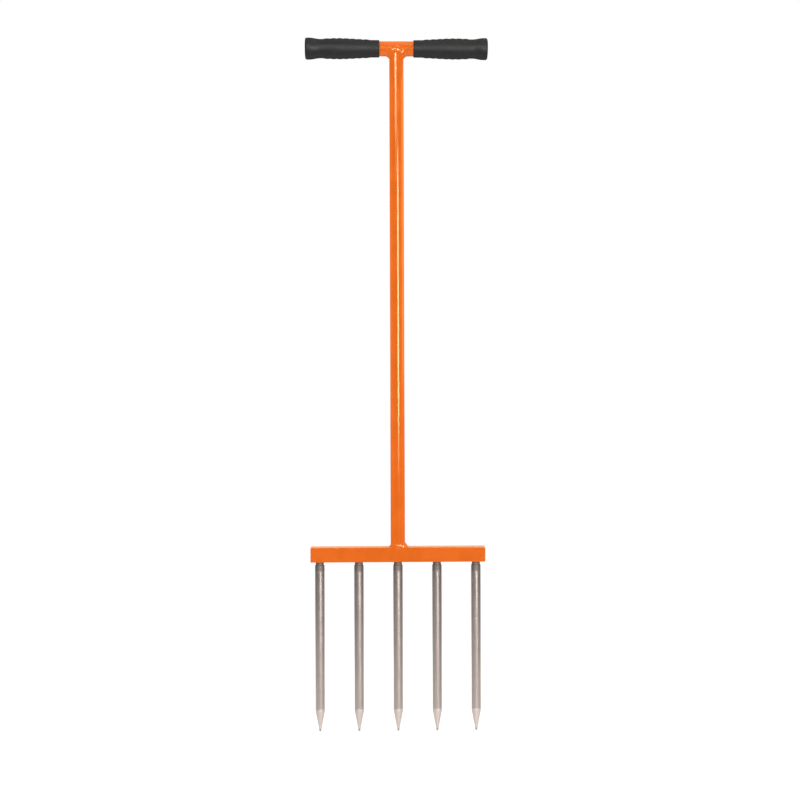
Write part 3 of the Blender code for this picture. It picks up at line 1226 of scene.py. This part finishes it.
@dataclass
class Welds:
    """The saddle bead under the handle and the bead round the shaft's foot.

    Args:
        paint: the beads' finish.
        tubing: the tubes that they join.
        stations: how many sections a bead has.
        section_points: how many points a section has.
        ring_thickness: of the ring of radius 1 that a bead is shaped from.
        shown: share of a section's points that lie on the bead's face.
        handle_legs: reach of the saddle bead along the handle and down the shaft.
        foot_legs: reach of the foot bead along the bar and up the shaft.
        foot_bias: how much heavier the foot bead is at the +X side.
        crown: how far a bead bulges at the front and the back.
        handle_hollow: how far the saddle bead is drawn in at its sides.
        foot_hollow: how far the foot bead is drawn in at its sides.
        lumps: how many lumps there are round a bead.
        lump_height: how high they are.
        lump_even: the share of their height that is the same all round.
        lump_change: the share that changes round the bead.
        lump_trail: how far their ends trail behind their middle, in radians at a share of 1.
        wander: how far they lie off even places round the bead, in radians.
        ripples: how many fine ripples there are round a bead.
        ripple_height: how high they are.
        ripple_trail: how far their ends trail, as for the lumps.
        sunk: how far a bead's edges lie under the skin beside them.
        buried: how far its hidden corner lies under the skin.
    """

    paint: PowderCoat
    tubing: Tubing
    stations: int = 240
    section_points: int = 28
    ring_thickness: float = 0.3
    shown: float = 0.75
    handle_legs: Span = (0.0058, 0.005)
    foot_legs: Span = (0.0042, 0.0058)
    foot_bias: float = 0.28
    crown: float = 0.0015
    handle_hollow: float = 0.0010
    foot_hollow: float = 0.0003
    lumps: int = 19
    lump_height: float = 0.00022
    lump_even: float = 0.65
    lump_change: Wave = Wave(0.35, 5, 0.7)
    lump_trail: float = 7.2
    wander: tuple[Wave, ...] = (Wave(0.55, 3, 1.0), Wave(0.35, 7))
    ripples: int = 61
    ripple_height: float = 0.00006
    ripple_trail: float = 21.6
    sunk: float = 0.00012
    buried: float = 0.0012

    def saddle_place(self, angle: float) -> Vector:
        """Where the shaft meets the handle's unrolled skin.

        Args:
            angle: the angle round the shaft, from the +X side.

        Returns:
            The place along X and round the tube.
        """
        across = self.tubing.shaft_radius * math.sin(angle)
        turn = math.asin(across / self.tubing.handle_radius)
        along = self.tubing.shaft_radius * math.cos(angle)
        return Vector((along, self.tubing.handle_radius * turn))

    def on_handle(self, place: Vector, depth: float) -> Vector:
        """A point at or under the handle's skin.

        Args:
            place: its place on the unrolled skin.
            depth: how far it lies under the skin.

        Returns:
            The point.
        """
        turn = place.y / self.tubing.handle_radius
        radius = self.tubing.handle_radius - depth
        centre = self.tubing.handle_centre
        return Vector((place.x, radius * math.sin(turn), centre.z - radius * math.cos(turn)))

    def handle_section(self, angle: float) -> BeadSection:
        """The saddle bead's section.

        Args:
            angle: the angle round the shaft, from the +X side.

        Returns:
            The section there.
        """
        nearby = math.pi / self.stations
        along = self.saddle_place(angle + nearby) - self.saddle_place(angle - nearby)
        outward = Vector((along.y, -along.x)).normalized()
        meeting = self.saddle_place(angle)
        toe = self.on_handle(meeting + outward * self.handle_legs[0], self.sunk)
        radius = self.tubing.shaft_radius - self.sunk
        foot = Vector((radius * math.cos(angle), radius * math.sin(angle), 0.0))
        foot.z = self.on_handle(meeting, 0.0).z - self.handle_legs[1]
        corner = self.on_handle(meeting, self.buried)
        corner.x -= self.buried * math.cos(angle)
        corner.y -= self.buried * math.sin(angle)
        return BeadSection(toe, foot, corner)

    def foot_section(self, angle: float) -> BeadSection:
        """The foot bead's section, lapped over the bar's rounded edges.

        Args:
            angle: the angle round the shaft, from the +X side.

        Returns:
            The section there.
        """
        low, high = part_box("head_bar")
        half = (high.y - low.y) / 2
        edge = HeadBar.edge_radius
        weight = 1 + self.foot_bias * math.cos(angle)
        reach = self.tubing.shaft_radius + self.foot_legs[0] * weight
        across = reach * math.sin(angle)
        past = abs(across) - half
        over = (past + math.hypot(past, 2 * edge)) / 2
        lapped = over / (over + edge)
        side = math.copysign(abs(across) - over - self.sunk * lapped, across)
        toe = Vector((reach * math.cos(angle), side, high.z - over - self.sunk * (1 - lapped)))
        skin = Vector((math.cos(angle), math.sin(angle), 0.0))
        foot = skin * (self.tubing.shaft_radius - self.sunk)
        foot.z = high.z + self.foot_legs[1] * weight
        corner = skin * (self.tubing.shaft_radius - self.buried)
        corner.z = high.z - self.buried
        return BeadSection(toe, foot, corner)

    def swell(self, angle: float, share: float, hollow: float) -> float:
        """How far a bead's face stands out from the line between its edges.

        Args:
            angle: the station's angle round the shaft.
            share: place on the face, from 0 at the toe to 1 at the foot.
            hollow: how far the bead is drawn in at its sides.

        Returns:
            The height over the line.
        """
        body = -hollow + (self.crown + hollow) * math.sin(angle) ** 2
        bow = 4 * share * (1 - share)
        off_middle = (share - 0.5) ** 2
        wander = sum(wave.at(angle) for wave in self.wander)
        lumps = math.sin(self.lumps * angle + wander + self.lump_trail * off_middle)
        ripples = math.sin(self.ripples * angle + self.ripple_trail * off_middle)
        lump_height = self.lump_height * (self.lump_even + self.lump_change.at(angle))
        relief = lump_height * lumps + self.ripple_height * ripples
        return bow * body + math.sin(math.pi * share) * relief

    def point_of(self, cut: BeadSection, angle: float, place: float, hollow: float) -> Vector:
        """A point of a bead's section.

        Args:
            cut: the section.
            angle: its angle round the shaft.
            place: place round the section, from 0 at the toe through the foot to 1.
            hollow: how far the bead is drawn in at its sides.

        Returns:
            The point.
        """
        if place > self.shown:
            share = (place - self.shown) / (1 - self.shown)
            first, last = (cut.foot, cut.corner) if share < 0.5 else (cut.corner, cut.toe)
            return first.lerp(last, share * 2 % 1)
        share = place / self.shown
        chord = (cut.foot - cut.toe).normalized()
        middle = (cut.toe + cut.foot) / 2 - cut.corner
        outward = (middle - chord * middle.dot(chord)).normalized()
        return cut.toe.lerp(cut.foot, share) + outward * self.swell(angle, share, hollow)

    def build(self, name: str, section: Callable[[float], BeadSection], hollow: float) -> Piece:
        """Shapes a ring into a bead, section by section.

        Args:
            name: the piece's name.
            section: gives the bead's section at an angle round the shaft.
            hollow: how far the bead is drawn in at its sides.

        Returns:
            The closed bead.
        """
        deselect_everything()
        bpy.ops.mesh.primitive_torus_add(
            major_segments=self.stations,
            minor_segments=self.section_points,
            major_radius=1.0,
            minor_radius=self.ring_thickness,
        )
        bead = new_piece(name)
        sections = {}
        for corner in bead.data.vertices:
            angle = math.atan2(corner.co.y, corner.co.x)
            out = math.hypot(corner.co.x, corner.co.y) - 1.0
            turn = round(math.atan2(corner.co.z, out) / math.tau * self.section_points)
            place = turn % self.section_points / self.section_points
            station = round(angle / math.tau * self.stations)
            if station not in sections:
                sections[station] = section(angle)
            corner.co = self.point_of(sections[station], angle, place, hollow)
        face_outwards(bead)
        return bead

    def assemble(self) -> None:
        """Builds and dresses both beads."""
        saddle = self.build("painted_handle_weld", self.handle_section, self.handle_hollow)
        fit_to_frame(saddle, "handle_weld", self.paint.material("handle_weld_paint"))
        foot = self.build("painted_foot_weld", self.foot_section, self.foot_hollow)
        fit_to_frame(foot, "foot_weld", self.paint.material("foot_weld_paint"))


@dataclass(frozen=True)
class Softbox:
    """A rectangular studio lamp.

    Args:
        name: the lamp's name.
        azimuth: its direction from the shaft in degrees, from -Y towards +X.
        distance: from the shaft's axis, over the floor.
        low: height of its lower edge, if it stood upright.
        high: height of its upper edge, if it stood upright.
        width: its width.
        brightness: of its face, where 1 is the white background.
        target: height of the point that it faces.
        lights_matt: whether it lights matt surfaces.
        shows_in_gloss: whether it is mirrored in gloss and steel.
        colour: of its light.
    """

    name: str
    azimuth: float
    distance: float
    low: float
    high: float
    width: float
    brightness: float
    target: float
    lights_matt: bool = True
    shows_in_gloss: bool = True
    colour: Colour = WHITE

    def hang(self) -> None:
        """Adds the lamp, which the camera doesn't see."""
        turn = math.radians(self.azimuth)
        place = Vector((math.sin(turn), -math.cos(turn), 0.0)) * self.distance
        place.z = (self.low + self.high) / 2
        aim = place - Vector((0.0, 0.0, self.target))
        height = self.high - self.low
        data = bpy.data.lights.new(self.name, "AREA")
        data.shape = "RECTANGLE"
        data.size = self.width
        data.size_y = height
        data.energy = self.brightness * math.pi * self.width * height
        data.color = self.colour
        lamp = bpy.data.objects.new(self.name, data)
        bpy.context.scene.collection.objects.link(lamp)
        lamp.location = place
        lamp.rotation_euler = aim.to_track_quat("Z", "Y").to_euler()
        lamp.visible_camera = False
        lamp.visible_diffuse = self.lights_matt
        lamp.visible_glossy = self.shows_in_gloss


@dataclass
class Studio:
    """A pale floor, a white surround and soft lamps.

    The surround is white to the camera and to matt surfaces. The sizes below say how it
    looks in gloss and steel, where 1 is white. A direction is given by its share of +Y,
    which is behind the tool, or of +Z, which is overhead.

    Args:
        softboxes: the lamps.
        front_mirrored: brightness in front of the tool.
        side_mirrored: brightness at its sides.
        side_from: shares of +Y between which the front gives way to the sides.
        back_mirrored: brightness right behind it.
        back_from: shares of +Y between which the back begins.
        ceiling_mirrored: brightness overhead.
        ceiling_from: shares of +Z between which the ceiling begins.
        side_tint: the surround's colour, but for the ceiling.
        floor_size: the floor's width.
        floor_near: how bright the floor looks in gloss and steel beside the tool.
        floor_far: how bright it looks there far from the tool.
        floor_fades: distances from the tool between which it goes from near to far.
        floor_albedo: the floor's whiteness to the camera, beside the tool.
        floor_bounce: how much light it throws back on matt surfaces.
        shadow_fades: distances from the tool between which its shadow fades out.
    """

    softboxes: tuple[Softbox, ...]
    front_mirrored: float = 0.05
    side_mirrored: float = 0.3
    side_from: Span = (-0.35, 0.3)
    back_mirrored: float = 0.85
    back_from: Span = (0.85, 0.98)
    ceiling_mirrored: float = 0.6
    ceiling_from: Span = (0.35, 0.85)
    side_tint: Colour = WARM_CARD
    floor_size: float = 60.0
    floor_near: float = 1.05
    floor_far: float = 0.12
    floor_fades: Span = (0.05, 2.0)
    floor_albedo: float = 0.94
    floor_bounce: float = 0.85
    shadow_fades: Span = (0.35, 1.1)

    def light_surround(self) -> None:
        """Makes the world: white, but shaded all round the tool in gloss and steel."""
        world = bpy.data.worlds.new("surround")
        bpy.context.scene.world = world
        world.use_nodes = True
        recipe = Recipe(world.node_tree)
        direction = recipe.add("TexCoord").outputs["Generated"]
        split = recipe.add("SeparateXYZ", {"Vector": direction}).outputs
        back, up = split["Y"], split["Z"]
        glossy = recipe.add("LightPath").outputs["Is Glossy Ray"]
        sides = recipe.ramp(back, *self.side_from, self.front_mirrored, self.side_mirrored)
        behind = recipe.ramp(back, *self.back_from, 0.0, self.back_mirrored)
        overhead = recipe.ramp(up, *self.ceiling_from)
        above = recipe.reckon("MULTIPLY", overhead, self.ceiling_mirrored)
        mirrored = recipe.reckon("MAXIMUM", recipe.reckon("MAXIMUM", sides, behind), above)
        tinted = recipe.reckon("SUBTRACT", 1.0, overhead)
        tinted = recipe.reckon("MULTIPLY", glossy, tinted)
        shade = recipe.reckon("SUBTRACT", mirrored, 1.0)
        background = recipe.add(
            "Background",
            {
                "Color": recipe.blend(tinted, rgba(WHITE), rgba(self.side_tint)),
                "Strength": recipe.reckon("MULTIPLY_ADD", glossy, shade, 1.0),
            },
        )
        recipe.add("OutputWorld", {"Surface": background.outputs["Background"]})

    def floor_material(self) -> bpy.types.Material:
        """White to the camera but for the tool's faint shadow, and a shaded sweep in the steel.

        Returns:
            The floor's material.
        """
        material, recipe = new_material("pale_floor")
        path = recipe.add("LightPath").outputs
        away = recipe.add("VectorMath", {0: recipe.place()}, operation="LENGTH").outputs["Value"]
        matt = recipe.add("BsdfDiffuse", {"Color": rgba(WHITE, self.floor_albedo)})
        white = recipe.add("Emission", {"Strength": 1.0})
        bounce = recipe.add("BsdfDiffuse", {"Color": rgba(WHITE, self.floor_bounce)})
        glow = recipe.ramp(away, *self.floor_fades, self.floor_near, self.floor_far)
        sweep = recipe.add("Emission", {"Strength": glow})
        seen = recipe.mix(recipe.ramp(away, *self.shadow_fades), matt, white)
        unseen = recipe.mix(path["Is Glossy Ray"], bounce, sweep)
        surface = recipe.mix(path["Is Camera Ray"], unseen, seen)
        recipe.add("OutputMaterial", {"Surface": surface.outputs[0]})
        return material

    def lay_floor(self) -> None:
        """Lays the floor that the points stand on."""
        deselect_everything()
        bpy.ops.mesh.primitive_plane_add(size=self.floor_size, location=(0.0, 0.0, 0.0))
        floor = new_piece("floor")
        floor.data.materials.append(self.floor_material())

    def set_up(self) -> None:
        """Lays the floor and lights it."""
        self.lay_floor()
        self.light_surround()
        for softbox in self.softboxes:
            softbox.hang()


@dataclass
class ProductCamera:
    """The camera at the photograph's viewing angle, level and turned a little on its axis.

    Args:
        distance: from the shaft's axis, along its line of sight.
        sideways: how far it stands to the right of the shaft.
        height: over the floor.
        azimuth: the way round the tool from the front, towards +X, in degrees.
        roll: how far it is turned clockwise about its line of sight, in degrees.
        lens: focal length in millimetres.
        sensor: sensor width in millimetres.
    """

    distance: float = 1.932
    sideways: float = 0.0039
    height: float = 0.4954
    azimuth: float = -1.3
    roll: float = 0.18
    lens: float = 57.97
    sensor: float = 36.0

    def set_up(self) -> None:
        """Adds the camera and makes it the scene's."""
        data = bpy.data.cameras.new("product_camera")
        data.lens = self.lens
        data.sensor_width = self.sensor
        data.sensor_fit = "HORIZONTAL"
        camera = bpy.data.objects.new("product_camera", data)
        bpy.context.scene.collection.objects.link(camera)
        orbit = Matrix.Rotation(math.radians(self.azimuth), 4, "Z")
        stand = Matrix.Translation((self.sideways, -self.distance, self.height))
        level = Matrix.Rotation(math.pi / 2, 4, "X")
        turned = Matrix.Rotation(math.radians(-self.roll), 4, "Z")
        camera.matrix_world = orbit @ stand @ level @ turned
        bpy.context.scene.camera = camera


SOFTBOXES = (
    Softbox("left_strip", -14.5, 2.0, 1.42, 1.75, 0.85, 17.0, 0.95, lights_matt=False),
    Softbox("left_strip_fade", -14.5, 2.0, 1.30, 1.42, 0.85, 7.0, 0.95, lights_matt=False),
    Softbox("right_strip", 16.0, 2.0, 0.42, 1.235, 0.7, 18.0, 0.6, lights_matt=False),
    Softbox("right_strip_fade", 16.0, 2.0, 0.33, 0.42, 0.7, 5.5, 0.6, lights_matt=False),
    Softbox("right_panel", 104.0, 1.5, 0.55, 1.4, 0.9, 1.8, 0.9, colour=WARM_CARD),
    Softbox("right_fill", 80.0, 1.5, 0.3, 1.2, 0.9, 1.1, 0.8, shows_in_gloss=False),
    Softbox("left_fill", -92.0, 1.5, 0.2, 1.3, 0.9, 1.6, 0.8, shows_in_gloss=False),
    Softbox("overhead", 30.0, 0.76, 1.95, 2.45, 0.6, 3.5, 0.6, colour=WARM_LAMP),
    Softbox("top_panel", 180.0, 0.45, 1.9, 2.5, 1.2, 3.0, 0.9, shows_in_gloss=False),
    Softbox("low_right", 28.0, 1.2, 0.005, 0.125, 0.4, 3.0, 0.1, lights_matt=False),
)


def main() -> None:
    """Builds the tool's sub-assemblies, then the studio and the camera."""
    logging.basicConfig(level=logging.INFO, format="%(name)s: %(message)s")
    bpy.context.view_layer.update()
    paint = PowderCoat()
    tubing = Tubing(paint)
    tines = Tines(GroundSteel())
    tubing.assemble()
    HeadBar(paint, tines).assemble()
    tines.assemble()
    Grips(MouldedRubber(), tubing).assemble()
    Welds(paint, tubing).assemble()
    Studio(SOFTBOXES).set_up()
    ProductCamera().set_up()
    bpy.context.scene.view_settings.view_transform = "Standard"


if __name__ == "__main__":
    main()
